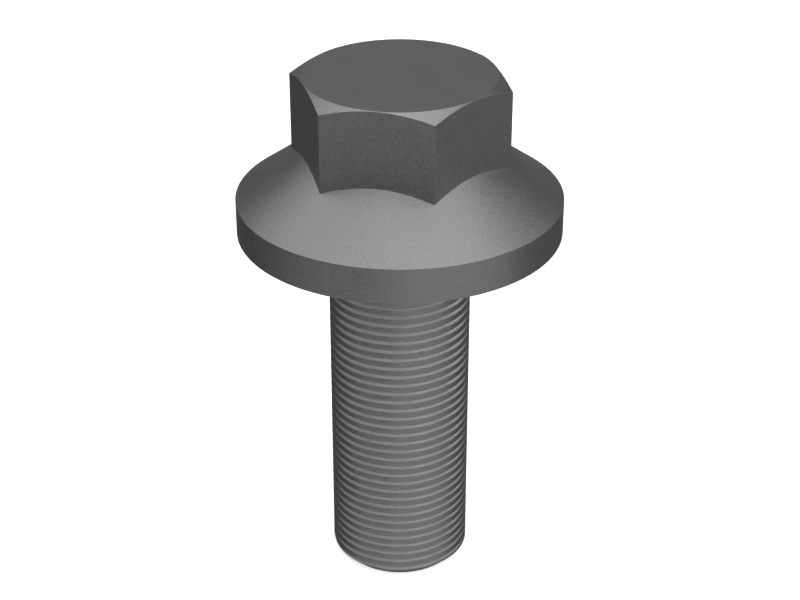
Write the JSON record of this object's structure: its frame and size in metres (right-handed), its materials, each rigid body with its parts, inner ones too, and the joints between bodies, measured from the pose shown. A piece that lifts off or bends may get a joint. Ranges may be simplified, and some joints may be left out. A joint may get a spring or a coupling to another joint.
{
  "type": "flange bolt",
  "caption": "Steel bolt with a chamfered hexagon head on a wide coned flange and a fully threaded round shank, for clamping parts together without a washer.",
  "frame": {"origin": "centre of the bearing face under the flange, on the bolt's axis", "axes": "+Z along the bolt's axis, from the shank's end towards the head; +Y and -Y square to two flats of the hexagon; +X and -X through two of its corners"},
  "size_m": [0.0136, 0.0136, 0.0228],
  "materials": {
    "steel": "dull dark grey steel with a fine even grain"
  },
  "bodies": {
    "root": {"flange_bolt": "steel"}
  },
  "joints": []
}
